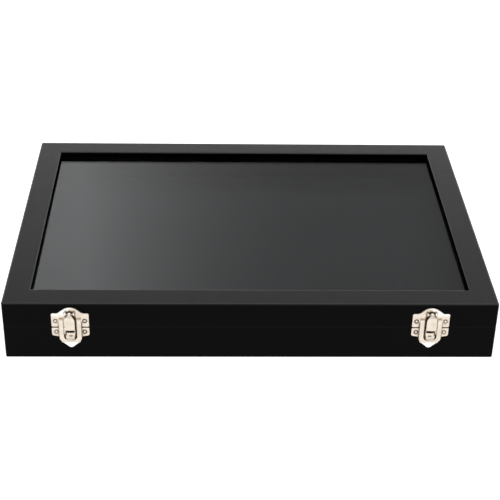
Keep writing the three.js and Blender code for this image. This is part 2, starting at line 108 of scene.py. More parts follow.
def carryRound(section, halfX, halfY, corner, loop=True, arcSteps=6, sideSteps=0):
    # Section rows are inset, height and scale. A row at inset i goes round the rectangle that is
    # drawn in by i, with corners of radius corner - i but at least 0.25, and shrinks to its scale.
    inset, height = section[:, 0], section[:, 1]
    scale = section[:, 2] if section.shape[1] > 2 else np.ones(len(section))
    radius = np.maximum(corner - inset, 0.25)[:, None, None]
    quarter = np.arange(4)[None, :, None] * math.pi / 2
    angle = quarter + np.linspace(0, math.pi / 2, arcSteps)[None, None, :]
    signX = np.array([1, -1, -1, 1])[None, :, None]
    signY = np.array([1, 1, -1, -1])[None, :, None]
    x = signX * (halfX - inset[:, None, None] - radius) + radius * np.cos(angle)
    y = signY * (halfY - inset[:, None, None] - radius) + radius * np.sin(angle)
    arcs = np.stack([x, y], -1)
    share = np.concatenate([[0.002], (np.arange(sideSteps) + 1) / (sideSteps + 1), [0.998]])
    last, first = arcs[:, :, -1:], np.roll(arcs, -1, 1)[:, :, :1]
    sides = last + (first - last) * share[None, None, :, None]
    flat = np.concatenate([arcs, sides], 2).reshape(len(section), -1, 2) * scale[:, None, None]
    up = np.broadcast_to(height[:, None, None], flat.shape[:2] + (1,))
    return ringShell(np.concatenate([flat, up], -1), loop)


def fieldShell(outline, centre, shares, faceOf, back):
    # Ring k lies at centre + share_k (outline - centre), and faceOf gives its height from its place
    # and its share. The back is the same rings, flat, from the rim in to the centre.
    flat = centre + shares[:, None, None] * (outline - centre)
    face = faceOf(flat[..., 0], flat[..., 1], shares[:, None] * np.ones(len(outline)))
    front = np.concatenate([flat, face[..., None]], -1)
    rim = np.array([1.0, 0.0])[:, None, None]
    behind = centre + rim * (outline - centre)
    behind = np.concatenate([behind, np.full(behind.shape[:2] + (1,), float(back))], -1)
    return ringShell(np.concatenate([front, behind]))


def slabShell(loop, low, high, soft=0.15):
    # A closed outline from one level to another, drawn in a little at both ends.
    centre = (loop.max(0) + loop.min(0)) / 2
    half = (loop.max(0) - loop.min(0)) / 2
    inset = np.array([soft, 0.3 * soft, 0, 0, 0.3 * soft, soft])
    level = np.array([low, low + 0.3 * soft, low + soft, high - soft, high - 0.3 * soft, high])
    flat = centre + (loop - centre) * (1 - inset[:, None, None] / half)
    return ringShell(np.concatenate([flat, np.broadcast_to(level[:, None, None], flat.shape[:2] + (1,))], -1))


def turnedShell(profile, sides):
    # Profile rows are radius and distance along the axis, carried round that axis.
    angle = np.linspace(0, 2 * math.pi, sides, endpoint=False)
    radius, along = profile[:, 0, None], profile[:, 1, None]
    x, y = radius * np.cos(angle), radius * np.sin(angle)
    return ringShell(np.stack([x, y, along + 0 * x], -1))


def turn(shell, order):
    points, quads, caps = shell
    return points[:, order], quads, caps


def place(shell, offset):
    points, quads, caps = shell
    return points + np.array(offset, float), quads, caps


def makePiece(name, shells, finish, body, stands, sharp=38.0, marks=None):
    start, points, faces = 0, [], []
    for shellPoints, quads, caps in shells:
        points.append(shellPoints * mm)
        faces += (quads + start).tolist() + [(cap + start).tolist() for cap in caps]
        start += len(shellPoints)
    mesh = bpy.data.meshes.new(name)
    mesh.from_pydata(np.concatenate(points), [], faces)
    work = bmesh.new()
    work.from_mesh(mesh)
    bmesh.ops.remove_doubles(work, verts=work.verts, dist=1e-7)
    bmesh.ops.recalc_face_normals(work, faces=work.faces)
    work.to_mesh(mesh)
    work.free()
    mesh.shade_smooth()
    mesh.set_sharp_from_angle(angle=math.radians(sharp))
    places = np.zeros(len(mesh.vertices) * 3, np.float32)
    mesh.vertices.foreach_get("co", places)
    for mark, shareAt in (marks or {}).items():
        values = mesh.attributes.new(mark, "FLOAT", "POINT")
        values.data.foreach_set("value", shareAt(places.reshape(-1, 3) / mm).astype(np.float32))
    piece = bpy.data.objects.new(name, mesh)
    bpy.context.scene.collection.objects.link(piece)
    mesh.materials.append(finish)
    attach(piece, body)
    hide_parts(*stands)
    return piece


def boxOf(name):
    low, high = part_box(name)
    return np.array(low) / mm, np.array(high) / mm


class Wire:  # a socket that Python sums work on, each one adding a Math node
    def __init__(self, finish, socket):
        self.finish = finish
        self.socket = socket

    def sum(self, operation, first, second):
        return self.finish.node("ShaderNodeMath", {"operation": operation}, {0: first, 1: second})

    def __add__(self, other):
        return self.sum("ADD", self, other)

    def __radd__(self, other):
        return self.sum("ADD", other, self)

    def __sub__(self, other):
        return self.sum("SUBTRACT", self, other)

    def __rsub__(self, other):
        return self.sum("SUBTRACT", other, self)

    def __mul__(self, other):
        return self.sum("MULTIPLY", self, other)

    def __rmul__(self, other):
        return self.sum("MULTIPLY", other, self)

    def __pow__(self, other):
        return self.sum("POWER", self, other)


class Finish:
    def __init__(self, owner, coordinate="Object"):
        self.owner = owner
        owner.use_nodes = True
        self.tree = owner.node_tree
        self.tree.nodes.clear()
        self.place = self.node("ShaderNodeTexCoord", output=coordinate)

    def node(self, kind, settings=None, sockets=None, output=0):
        made = self.tree.nodes.new(kind)
        for key, value in (settings or {}).items():
            setattr(made, key, value)
        for key, value in (sockets or {}).items():
            if isinstance(value, Wire):
                self.tree.links.new(value.socket, made.inputs[key])
            else:
                made.inputs[key].default_value = value
        return Wire(self, None if output is None else made.outputs[output])

    def noise(self, scale, detail=2.0, rough=0.5, where=None):
        sockets = {"Vector": where or self.place, "Scale": scale, "Detail": detail, "Roughness": rough}
        return self.node("ShaderNodeTexNoise", {}, sockets)

    def cells(self, scale, feature="F1"):
        sockets = {"Vector": self.place, "Scale": scale}
        return self.node("ShaderNodeTexVoronoi", {"feature": feature}, sockets, "Distance")

    def stretch(self, x, y, z):
        sockets = {"Vector": self.place, "Scale": (x, y, z)}
        return self.node("ShaderNodeMapping", {}, sockets)

    def blend(self, share, first, second):
        first, second = (c if isinstance(c, Wire) else (*c, 1.0) for c in (first, second))
        sockets = {0: share, 6: first, 7: second}
        return self.node("ShaderNodeMix", {"data_type": "RGBA"}, sockets, 2)

    def bump(self, height, strength, distance):
        return self.node("ShaderNodeBump", {}, {"Height": height, "Strength": strength, "Distance": distance})

    def surface(self, **sockets):
        named = {key.replace("_", " "): value for key, value in sockets.items()}
        return self.node("ShaderNodeBsdfPrincipled", {}, named)

    def done(self, shader, kind="ShaderNodeOutputMaterial"):
        self.node(kind, {}, {"Surface": shader}, None)
        return self.owner


def newFinish(name):
    return Finish(bpy.data.materials.new(name))


leatherLook = {
    "dark": (0.0003, 0.0003, 0.0004),
    "light": (0.0014, 0.0014, 0.0016),
    "paintedSheen": (0.034, 0.034, 0.035),  # painted highlight along the rounded edges
    "specular": 0.035,
    "roughness": 0.46,
    "grain": 1500.0,
    "grainDepth": 0.00007,
}


def makeLeather():
    f = newFinish("blackLeatherette")
    pebble = f.cells(leatherLook["grain"], "SMOOTH_F1")
    pores = f.noise(leatherLook["grain"] * 0.8, 3.0, 0.6)
    mottle = f.noise(160.0, 3.0, 0.55)
    height = 1 - pebble * 0.8 + pores * 0.5
    # this attribute paints a highlight along the case's rounded edges into the colour
    wearAndSheen = f.node("ShaderNodeAttribute", {"attribute_name": "wearAndSheen"}, output="Fac")
    colour = f.blend(mottle * 0.6 + pores * 0.4, leatherLook["dark"], leatherLook["light"])
    film = f.surface(
        Base_Color=f.blend(wearAndSheen, colour, leatherLook["paintedSheen"]),
        Roughness=leatherLook["roughness"] + (mottle - 0.5) * 0.16 + (pores - 0.5) * 0.2,
        Specular_IOR_Level=leatherLook["specular"],
        Normal=f.bump(height, 0.55, leatherLook["grainDepth"]),
    )
    # painted shade: a matte near-black without reflection for the window's inner walls
    wallShade = f.surface(Base_Color=(0.0004, 0.0004, 0.0004, 1.0), Roughness=1.0, Specular_IOR_Level=0.0)
    dull = f.node("ShaderNodeAttribute", {"attribute_name": "dull"}, output="Fac")
    return f.done(f.node("ShaderNodeMixShader", {}, {0: dull, 1: film, 2: wallShade}))


velvetLook = {"dark": (0.0025, 0.0025, 0.0028), "light": (0.0085, 0.0085, 0.0095), "pile": 2600.0}


def makeVelvet():
    f = newFinish("blackVelvet")
    pile = f.noise(velvetLook["pile"], 2.0, 0.7)
    nap = f.noise(22.0, 4.0, 0.6, f.stretch(1.0, 2.2, 1.0))
    colour = f.blend(nap * 0.7 + pile * 0.4, velvetLook["dark"], velvetLook["light"])
    return f.done(f.surface(
        Base_Color=colour,
        Roughness=0.82 + pile * 0.16,
        Specular_IOR_Level=0.03,
        Sheen_Weight=0.06,
        Sheen_Roughness=0.45,
        Normal=f.bump(pile + nap * 0.6, 0.2, 0.0002),
    ))


nickelLook = {
    "dull": (0.5, 0.432, 0.35),
    "bright": (0.8, 0.718, 0.62),
    # the colour of the painted highlights
    "glintColour": (0.87, 0.85, 0.81),
    # the colour of the painted shade
    "shadeColour": (0.045, 0.028, 0.016),
    "reach": 0.0016,
    "shadePower": 2.0,
}


def makeNickel():
    f = newFinish("brightNickel")
    haze = f.noise(260.0, 3.0, 0.6)
    wearAndSheen = f.noise(900.0, 2.0, 0.5, f.stretch(1.0, 1.0, 5.0))
    # painted shade: the colour darkens where metal stands close to metal, by ambient occlusion
    closeBy = f.node("ShaderNodeAmbientOcclusion", {"samples": 8}, {"Distance": nickelLook["reach"]}, "AO")
    # the darkening mask adds painted shade on the latches and darkens the hinges round screws and bends; the
    # lift mask takes painted shade away
    darkening = f.node("ShaderNodeAttribute", {"attribute_name": "darkening"}, output="Fac")
    shadeLifted = f.node("ShaderNodeAttribute", {"attribute_name": "shadeLifted"}, output="Fac")
    unshaded = closeBy ** nickelLook["shadePower"] * (1 - darkening * (0.7 + haze * 0.4)) + shadeLifted
    unshaded = f.node("ShaderNodeMath", {"operation": "MINIMUM"}, {0: unshaded, 1: 1.0})
    metal = f.blend(haze, nickelLook["dull"], nickelLook["bright"])
    # the glint mask paints highlights in a lighter colour
    glint = f.node("ShaderNodeAttribute", {"attribute_name": "glint"}, output="Fac")
    colour = f.blend(unshaded, nickelLook["shadeColour"], f.blend(glint, metal, nickelLook["glintColour"]))
    return f.done(f.surface(
        Base_Color=colour,
        Metallic=1.0,
        Roughness=0.36 - unshaded * 0.22 + haze * 0.1 + wearAndSheen * 0.04,
        Normal=f.bump(haze + wearAndSheen * 0.3, 0.12, 0.0002),
    ))


boardLook = {"dark": (0.16, 0.1, 0.055), "light": (0.34, 0.235, 0.14)}


def makeBoard():
    f = newFinish("fibreBoard")
    fibre = f.noise(900.0, 4.0, 0.7)
    cloud = f.noise(60.0, 3.0, 0.5)
    colour = f.blend(fibre * 0.7 + cloud * 0.3, boardLook["dark"], boardLook["light"])
    return f.done(f.surface(
        Base_Color=colour,
        Roughness=0.7 + fibre * 0.25,
        Normal=f.bump(fibre, 0.4, 0.0002),
    ))


stainedLook = {"dark": (0.003, 0.003, 0.003), "light": (0.011, 0.011, 0.012)}


def makeStained():
    f = newFinish("stainedBoard")
    fibre = f.noise(900.0, 4.0, 0.7)
    colour = f.blend(fibre, stainedLook["dark"], stainedLook["light"])
    return f.done(f.surface(
        Base_Color=colour,
        Roughness=0.75 + fibre * 0.2,
        Specular_IOR_Level=0.05,
        Normal=f.bump(fibre, 0.4, 0.0002),
    ))


paperLook = {"dark": (0.006, 0.006, 0.0065), "light": (0.02, 0.02, 0.021)}


def makePaper():
    f = newFinish("footPaper")
    fibre = f.noise(1300.0, 4.0, 0.75)
    pebble = f.cells(700.0)
    colour = f.blend(fibre * 0.6 + pebble * 0.4, paperLook["dark"], paperLook["light"])
    return f.done(f.surface(
        Base_Color=colour,
        Roughness=0.7 + fibre * 0.25,
        Specular_IOR_Level=0.3,
        Normal=f.bump(fibre + pebble, 0.5, 0.0002),
    ))


glassLook = {"tint": (0.96, 0.965, 0.965, 1.0), "shadow": (0.85, 0.88, 0.87, 1.0), "bends": 1.5}


def makeGlass():
    f = newFinish("clearGlass")
    sockets = {"Color": glassLook["tint"], "Roughness": 0.0, "IOR": glassLook["bends"]}
    clear = f.node("ShaderNodeBsdfGlass", {}, sockets)
    lamps = f.node("ShaderNodeBsdfTransparent", {}, {"Color": glassLook["shadow"]})
    shadow = f.node("ShaderNodeLightPath", output="Is Shadow Ray")
    return f.done(f.node("ShaderNodeMixShader", {}, {0: shadow, 1: clear, 2: lamps}))


leather, velvet, nickel = makeLeather(), makeVelvet(), makeNickel()
board, stained, paper, glass = makeBoard(), makeStained(), makePaper(), makeGlass()
carried = {
    board: [n for n in nodes if n.endswith(("_wall", "_panel"))],
    stained: [n for n in nodes if n.endswith("_rail")],
    paper: ["foot_sheet"],
    glass: ["glass_pane"],
}
for finish, names in carried.items():
    for name in names:
        nodes[name].data.materials.clear()
        nodes[name].data.materials.append(finish)
print("finishes ready")

# the leatherette wraps
caseLow, caseHigh = boxOf("lid_leather_wrap")
halfWidth, halfDepth, caseTop, rimFoot = caseHigh[0], caseHigh[1], caseHigh[2], caseLow[2]
rimTop, baseFoot = boxOf("base_leather_wrap")[1][2], boxOf("base_leather_wrap")[0][2]
seam = (rimTop + rimFoot) / 2
wrap = {
    "thickness": 0.6,
    "corner": 1.5,
    "seamCloses": 0.12,  # the soft edges of lid and base nearly meet
    "topEdge": 1.1,  # how far the rounding of each edge reaches
    "windowEdge": 1.0,
    "seamEdge": 0.55,
    "rawEdge": 0.25,
    "hiddenEdge": 0.2,
    "baseInside": 9.4,
    "baseTurnDown": 17.4,
    "window": 18.5,
    "windowFoot": 41.5,
    "lidInside": 10.5,
    "lidTurnUp": 33.2,
}


# strength and place of the painted highlight on the rounded edges
edgeSheen = {
    "topMost": 1.35,
    "topInset": 0.68,
    "topReach": 0.6,
    "sideMost": 0.45,
    "sideReach": 1.05,
    "windowMost": 0.75,
    "seamMost": 0.2,
    "tightest": 0.646,  # share of its reach that a rounding keeps inside its corner
}


def paintedEdgeSheen(points):
    # Painted highlight along the rounded edges: one where a rounded edge is tightest, nought where it
    # meets the flat, by the distance from the sharp corner that the rounding cuts off.
    inset = np.minimum(halfWidth - np.abs(points[:, 0]), halfDepth - np.abs(points[:, 1]))
    down = caseTop - points[:, 2]
    top = np.clip(1 - np.abs(inset - edgeSheen["topInset"]) / edgeSheen["topReach"], 0, 1) * (down < 0.5)
    side = np.clip(1 - (down - 0.3) / edgeSheen["sideReach"], 0, 1) * (inset < 0.3)
    total = np.maximum(edgeSheen["topMost"] * top, edgeSheen["sideMost"] * side)
    corners = [
        (wrap["window"], caseTop, wrap["windowEdge"], edgeSheen["windowMost"]),
        (0, rimFoot - wrap["seamCloses"], wrap["seamEdge"], edgeSheen["seamMost"]),
        (0, rimTop + wrap["seamCloses"], wrap["seamEdge"], edgeSheen["seamMost"]),
    ]
    for cornerInset, cornerHeight, reach, most in corners:
        away = np.hypot(inset - cornerInset, points[:, 2] - cornerHeight)
        share = np.clip((reach - away) / (edgeSheen["tightest"] * reach), 0, 1)
        total = np.maximum(total, most * share * (share > 0.01))
    return total


def paintedWallShade(points):
    # Painted shade: one on the window's own walls, below their rounded edge.
    inset = np.minimum(halfWidth - np.abs(points[:, 0]), halfDepth - np.abs(points[:, 1]))
    return np.clip((caseTop - 0.3 - points[:, 2]) / 0.5, 0, 1) * (inset > wrap["window"] - 1)


def makeWraps():
    # Each section runs up the outside, over the edge and down the inside, then back one thickness in.
    t, small = wrap["thickness"], wrap["hiddenEdge"]
    inner = wrap["topEdge"] - t
    baseTop, lidFoot = rimTop + wrap["seamCloses"], rimFoot - wrap["seamCloses"]
    within = wrap["baseInside"]
    base = roundLoop(
        [
            (0, baseFoot), (0, baseTop), (within, baseTop), (within, wrap["baseTurnDown"]),
            (within - t, wrap["baseTurnDown"]), (within - t, baseTop - t), (t, baseTop - t), (t, baseFoot),
        ],
        [wrap["rawEdge"], wrap["seamEdge"], wrap["seamEdge"], wrap["rawEdge"], wrap["rawEdge"], small, small,
         wrap["rawEdge"]],
    )
    makePiece("baseWrap", [carryRound(base, halfWidth, halfDepth, wrap["corner"])], leather, "base",
              ["base_leather_wrap"], sharp=50, marks={"wearAndSheen": paintedEdgeSheen})
    w, inside = wrap["window"], wrap["lidInside"]
    lid = roundLoop(
        [
            (0, lidFoot), (0, caseTop), (w, caseTop), (w, wrap["windowFoot"]), (w - t, wrap["windowFoot"]),
            (w - t, caseTop - t), (t, caseTop - t), (t, lidFoot + t), (inside - t, lidFoot + t),
            (inside - t, wrap["lidTurnUp"]), (inside, wrap["lidTurnUp"]), (inside, lidFoot),
        ],
        [wrap["seamEdge"], wrap["topEdge"], wrap["windowEdge"], small, small, wrap["windowEdge"] - t, inner,
         small, small, small, wrap["rawEdge"], wrap["seamEdge"]],
    )
    makePiece("lidWrap", [carryRound(lid, halfWidth, halfDepth, wrap["corner"])], leather, "lid",
              ["lid_leather_wrap"], sharp=50, marks={"wearAndSheen": paintedEdgeSheen, "dull": paintedWallShade})


makeWraps()

pad = {
    "edge": 3.2,  # rounding of the cover over the foam
    "crown": 1.3,
    "pull": 0.8,
    "corner": 3.0,
    "hem": 9.0,  # the cover turns under this far
    "hemThickness": 0.35,
    "wave": 0.072,
    "topRings": 25,
    "sideRings": 6,
    "sideSteps": 22,
}


def crowned(shell, halfX, halfY, foot, top, crown, pull):
    # With u and v the places over the half sides, the height falls by crown (u^4 + v^4 + u^4 v^4) / 2
    # and a shallow wave, in full at the top and by the cube of the share of height below it. The sides
    # pull in by pull sin(pi share) between the corners.
    points, quads, caps = shell
    u, v = points[:, 0] / halfX, points[:, 1] / halfY
    share = np.clip((points[:, 2] - foot) / (top - foot), 0, 1)
    bulge = np.clip(1 - 0.5 * (u ** 4 + v ** 4) - 0.5 * u ** 4 * v ** 4, 0, 1)
    soft = np.abs(np.sin(11 * u + 2 * v) * np.cos(7 * v - 3 * u))
    z = points[:, 2] - share ** 3 * (crown * (1 - bulge) + soft * pad["wave"])
    belly = pull * np.sin(math.pi * share)
    x = points[:, 0] * (1 - belly * np.clip(np.abs(u) ** 8, 0, 1) * (1 - v ** 2) / halfX)
    y = points[:, 1] * (1 - belly * np.clip(np.abs(v) ** 8, 0, 1) * (1 - u ** 2) / halfY)
    return np.stack([x, y, z], -1), quads, caps


def makePad():
    # The section runs out under the hem, up the side, over the rounded edge and in to the top's middle.
    low, high = boxOf("pad_velvet")
    edge, hem, lift = pad["edge"], pad["hem"], pad["hemThickness"]
    ramp = np.linspace(0, math.pi / 2, 7)
    arc = np.stack([edge * (1 - np.cos(ramp)), high[2] - edge + edge * np.sin(ramp), np.ones(7)], -1)
    inward = 1 - np.linspace(0, 1, pad["topRings"] + 1)[1:]
    top = np.stack([np.full(len(inward), edge), np.full(len(inward), high[2]), inward], -1)
    sideUp = np.linspace(low[2] + 0.3, high[2] - edge, pad["sideRings"], endpoint=False)
    side = np.stack([0 * sideUp, sideUp, 0 * sideUp + 1], -1)
    under = np.array([[hem, low[2] + lift, 1], [hem, low[2], 1], [0.4, low[2], 1]])
    cover = carryRound(np.vstack([under, side, arc, top]), high[0], high[1], pad["corner"], loop=False,
                       sideSteps=pad["sideSteps"])
    cover = crowned(cover, high[0], high[1], low[2], high[2], pad["crown"], pad["pull"])
    piece = makePiece("velvetPad", [cover], velvet, "base", ["pad_velvet", "pad_foam"], sharp=60)


makePad()


lining = {"thickness": 0.8, "cove": 0.9, "lip": 0.25, "corner": 1.0, "floor": 2.0}


def makeLining():
    # One section from the middle of the underside, out, up, over the lip, down and back to the middle.
    low, high = boxOf("tray_lining")
    t, cove, lip, floor = lining["thickness"], lining["cove"], lining["lip"], lining["floor"]
    section = np.array([
        (floor, low[2], 0), (floor, low[2], 1), (0.3, low[2], 1), (0, low[2] + 0.3, 1), (0, high[2] - 0.3, 1),
        (lip, high[2], 1), (t - lip, high[2], 1), (t, high[2] - 0.3, 1), (t, low[2] + t + cove, 1),
        (t + 0.25, low[2] + t + 0.25, 1), (t + cove, low[2] + t, 1), (t + floor, low[2] + t, 1),
        (t + floor, low[2] + t, 0),
    ])
    shell = carryRound(section, high[0], high[1], lining["corner"], loop=False)
    makePiece("trayLining", [shell], velvet, "base", ["tray_lining"], sharp=50)


makeLining()


bead = {
    "section": [(9.9, 33.3), (14.9, 33.3), (16.9, 35.3), (16.9, 39.3), (9.9, 39.3)],  # inset and height
    "rounding": [0.5, 1.2, 1.2, 0.5, 0.3],
    "mitreGap": 0.1,
}


def makeBeads():
    # Each bead is its rounded section carried along one side of the lid, with mitred ends.
    section = roundLoop(bead["section"], bead["rounding"])
    for side, quarter in (("front", 0), ("right", 1), ("back", 2), ("left", 3)):
        along, across = (halfWidth, halfDepth) if quarter % 2 == 0 else (halfDepth, halfWidth)
        end = np.array([-1.0, 1.0])[:, None]
        x = end * (along - section[:, 0] - bead["mitreGap"])
        y = -across + section[:, 0] + 0 * x
        z = section[:, 1] + 0 * x
        rings = np.stack([x, y, z], -1)
        c, s = math.cos(quarter * math.pi / 2), math.sin(quarter * math.pi / 2)
        spin = np.array([[c, s, 0], [-s, c, 0], [0, 0, 1]])
        makePiece(f"glassBead_{side}", [ringShell(rings @ spin)], velvet, "lid",
                  [f"glass_bead_{side}"], sharp=50)


makeBeads()
print("case ready")

# Latch places are across, proud of the front face, and height above the seam.
plate = {
    "back": 0.1,
    "face": 0.9,
    "half": 13.3,
    "gap": 0.35,  # from each plate to the seam
    "roll": 0.42,
    "rollFrom": 0.955,
    "dimple": 0.55,
    "dimpleRadius": 2.1,
}


def latchPlate(outline, centre, nails):
    # The face drops by roll r^2 at its rim, with r from nought at rollFrom to one at the edge, and by
    # dimple (1 - d^2)^1.2 round each nail, with d the distance over the dimple's radius.
    def face(x, h, share):
        rim = np.clip((share - plate["rollFrom"]) / (1 - plate["rollFrom"]), 0, 1)
        height = plate["face"] - plate["roll"] * rim ** 2
        for nailX, nailH in nails:
            away = np.hypot(x - nailX, h - nailH) / plate["dimpleRadius"]
            height = height - plate["dimple"] * np.clip(1 - away ** 2, 0, 1) ** 1.2
        return height

    shares = np.concatenate([np.linspace(0, plate["rollFrom"], 42), np.linspace(plate["rollFrom"], 1, 7)[1:]])
    shell = fieldShell(spacedLoop(outline, 0.3), np.array(centre), shares, face, plate["back"])
    return turn(shell, [0, 2, 1])


def mirrored(half):
    # Half an outline from x = 0 to x = 0, and the same backwards on the other side.
    half = np.array(half, float)
    other = half[::-1] * [-1, 1]
    return np.vstack([half, other[np.abs(other[:, 0]) > 1e-6]])


def quadratic(a, c, b, steps):
    # The curve (1-t)^2 a + 2t(1-t) c + t^2 b.
    t = np.linspace(0, 1, steps)[:, None]
    a, c, b = np.array(a, float), np.array(c, float), np.array(b, float)
    return (1 - t) ** 2 * a + 2 * t * (1 - t) * c + t * t * b


lidNails = [(-10.2, 5.3), (10.2, 5.3)]
baseNails = [(-9.9, -3.9), (9.9, -3.9)]
hasp = {
    "earTop": 11.6,
    "earCut": 1.5,
    "archHalf": 8.7,
    "archTop": 16.3,
    "centre": 6.0,
    "lug": [(0.5, 10.9), (3.5, 10.9), (3.5, 13.2), (0.5, 13.2)],  # proud and height
    "lugRounding": [0.1, 1.3, 1.3, 0.1],
    "lugStarts": (2.5, -3.5),
    "lugThickness": 1.0,
}


def haspShells():
    # Half the outline runs out along the seam, up round the ear and in over the arch.
    half, gap, ear, cut = plate["half"], plate["gap"], hasp["earTop"], hasp["earCut"]
    foot = np.array([(0.0, gap), (half - 0.4, gap), (half, gap + 0.4)])
    corner = quadratic((half, ear - cut), (half, ear), (half - cut, ear), 6)
    archHalf, archTop = hasp["archHalf"], hasp["archTop"]
    arch = quadratic((archHalf, ear), (archHalf / 2, archTop), (0, archTop), 16)
    outline = mirrored(np.vstack([foot, corner, [(archHalf + 0.6, ear)], arch[1:]]))
    lug = slabShell(roundLoop(hasp["lug"], hasp["lugRounding"], 8), 0, hasp["lugThickness"], 0.18)
    lugs = [place(turn(lug, [2, 0, 1]), (start, 0, 0)) for start in hasp["lugStarts"]]
    return [latchPlate(outline, (0, hasp["centre"]), lidNails), *lugs]


channel = {
    "outer": 7.85,
    "inner": 4.55,
    "top": 7.4,
    "outerLeg": 16.2,
    "innerLeg": 13.6,
    "outerTurn": [(7.6, -10.2), (5.9, -11.1)],
    "outerFoot": [(5.5, -11.3), (0, -11.3)],
    "innerFoot": -10.2,
    "back": 0.5,
    "lift": 1.02,  # the legs clear the lid's plate
    "proud": 2.6,
    "edge": 0.5,
    "endDrop": 0.3,
}


def channelShell():
    # The band between the outer and inner outlines of a U: its section's place across the band is w,
    # and its height runs from the band's back to its face by q.
    outerX, innerX, top, innerFoot = channel["outer"], channel["inner"], channel["top"], channel["innerFoot"]
    outerLow, innerLow = top - channel["outerLeg"], top - channel["innerLeg"]
    share = np.linspace(0, 1, 34)[:, None]
    outerLeg = np.array([outerX, top]) + share * np.array([0, outerLow - top])
    innerLeg = np.array([innerX, top]) + share * np.array([0, innerLow - top])
    outerTurn = quadratic((outerX, outerLow), *channel["outerTurn"], 9)[1:]
    outerFoot = quadratic(channel["outerTurn"][1], *channel["outerFoot"], 11)[1:]
    innerTurn = quadratic((innerX, innerLow), (innerX, innerFoot), (0, innerFoot), 19)[1:]
    outer = np.vstack([outerLeg, outerTurn, outerFoot])
    inner = np.vstack([innerLeg, innerTurn])
    outer = np.vstack([outer, outer[-2::-1] * [-1, 1]])
    inner = np.vstack([inner, inner[-2::-1] * [-1, 1]])
    wide, tall, edge = outerX - innerX, channel["proud"] - channel["back"], channel["edge"]
    loop = roundLoop([(0, 0), (0, tall), (wide, tall), (wide, 0)], [0.05, edge, edge, 0.05], 6)
    w, q = loop[:, 0] / wide, loop[:, 1] / tall
    flat = outer[:, None] + w[None, :, None] * (inner - outer)[:, None]
    lifted = np.clip((flat[..., 1] + plate["gap"]) / 0.25, 0, 1)
    back = channel["back"] + (channel["lift"] - channel["back"]) * lifted
    ends = np.clip(flat[..., 1] - top + 1, 0, 1) ** 2 * channel["endDrop"]
    proud = back + (channel["proud"] - back) * q[None, :] - ends * q[None, :]
    return ringShell(np.stack([flat[..., 0], proud, flat[..., 1]], -1))


catch = {
    "ear": -7.1,
    "earCut": 1.3,
    "sweep": [(9.8, -7.5), (7.5, -7.7), (7.4, -10.9)],
    "shoulder": [(6.6, -12.9), (6.2, -13.3), (5.5, -13.45)],
    "tip": [(2.3, -16.2), (1.2, -17.4), (0, -17.4)],
    "centre": -6.0,
    "tooth": [(-2.6, -2.0), (2.6, -2.0), (2.6, -0.9), (-2.6, -0.9)],
    "toothProud": (0.5, 1.9),
}


def catchShells():
    # Half the outline runs out along the seam, down round the ear, in by the sweep and round the tip.
    half, gap, ear, cut = plate["half"], plate["gap"], catch["ear"], catch["earCut"]
    top = np.array([(0.0, -gap), (half - 0.4, -gap), (half, -gap - 0.4)])
    corner = quadratic((half, ear + cut), (half, ear), (half - cut, ear), 6)
    sweep, tip = quadratic(*catch["sweep"], 10), quadratic(*catch["tip"], 8)
    outline = mirrored(np.vstack([top, corner, sweep, catch["shoulder"], tip]))
    tooth = slabShell(roundLoop(catch["tooth"], 0.25), *catch["toothProud"], 0.2)
    return [latchPlate(outline, (0, catch["centre"]), baseNails), channelShell(), turn(tooth, [0, 2, 1])]


strap = {
    "bend": [(3.6, 12), (4.1, 8.6), (4.4, 5), (4.3, 1.4), (3.8, -0.6), (2.95, -2.6), (2.95, -4.4),
             (3.8, -6.9), (4.6, -9.1)],  # proud and height, from the pin down to the lip
    "thickness": 0.8,
    "roll": 1.0,
    "pin": (2.6, 12.0),
    "rollTurn": 285,
    "crown": 0.45,
    "crownRun": 2.0,  # the face starts to swell this far past the roll
    "lipFrom": -4.4,
    "lipRun": 2.5,
    "lipHollow": 2.2,
    "half": 3.5,
    "neck": 0.9,
    "slotHalf": 3.1,
    "slot": (-0.1, -2.8),
    # half width by height: the lip rounds off, and the shoulders narrow to the neck
    "levels": [-9.1, -8.9, -8.4, -7.6, -6.8, -6.0, -4.2, -2.8, 7.2, 8.0, 8.8, 12.4],
    "halves": [1.5, 2.1, 2.7, 3.0, 3.1, 3.15, 3.25, 3.5, 3.5, 3.4, 3.1, 0.9],
    "pinRadius": 0.5,
    "pinHalf": 3.6,
    "softEdge": 0.16,
}


def strapLine():
    # A roll round the pin, then a Catmull-Rom curve through the bend's points.
    knots = np.array(strap["bend"], float)
    padded = np.vstack([2 * knots[0] - knots[1], knots, 2 * knots[-1] - knots[-2]])
    t = np.linspace(0, 1, 24, endpoint=False)[None, :, None]
    a, b, c, d = (padded[i:len(padded) - 3 + i][:, None] for i in range(4))
    bow, twist = 2 * a - 5 * b + 4 * c - d, 3 * b - a - 3 * c + d
    curve = 0.5 * (2 * b + (c - a) * t + bow * t ** 2 + twist * t ** 3)
    curve = np.vstack([curve.reshape(-1, 2), knots[-1:]])
    angle = np.linspace(math.radians(strap["rollTurn"]), 0, 60, endpoint=False)
    roll = np.array(strap["pin"]) + strap["roll"] * np.stack([np.cos(angle), np.sin(angle)], -1)
    return roll, curve


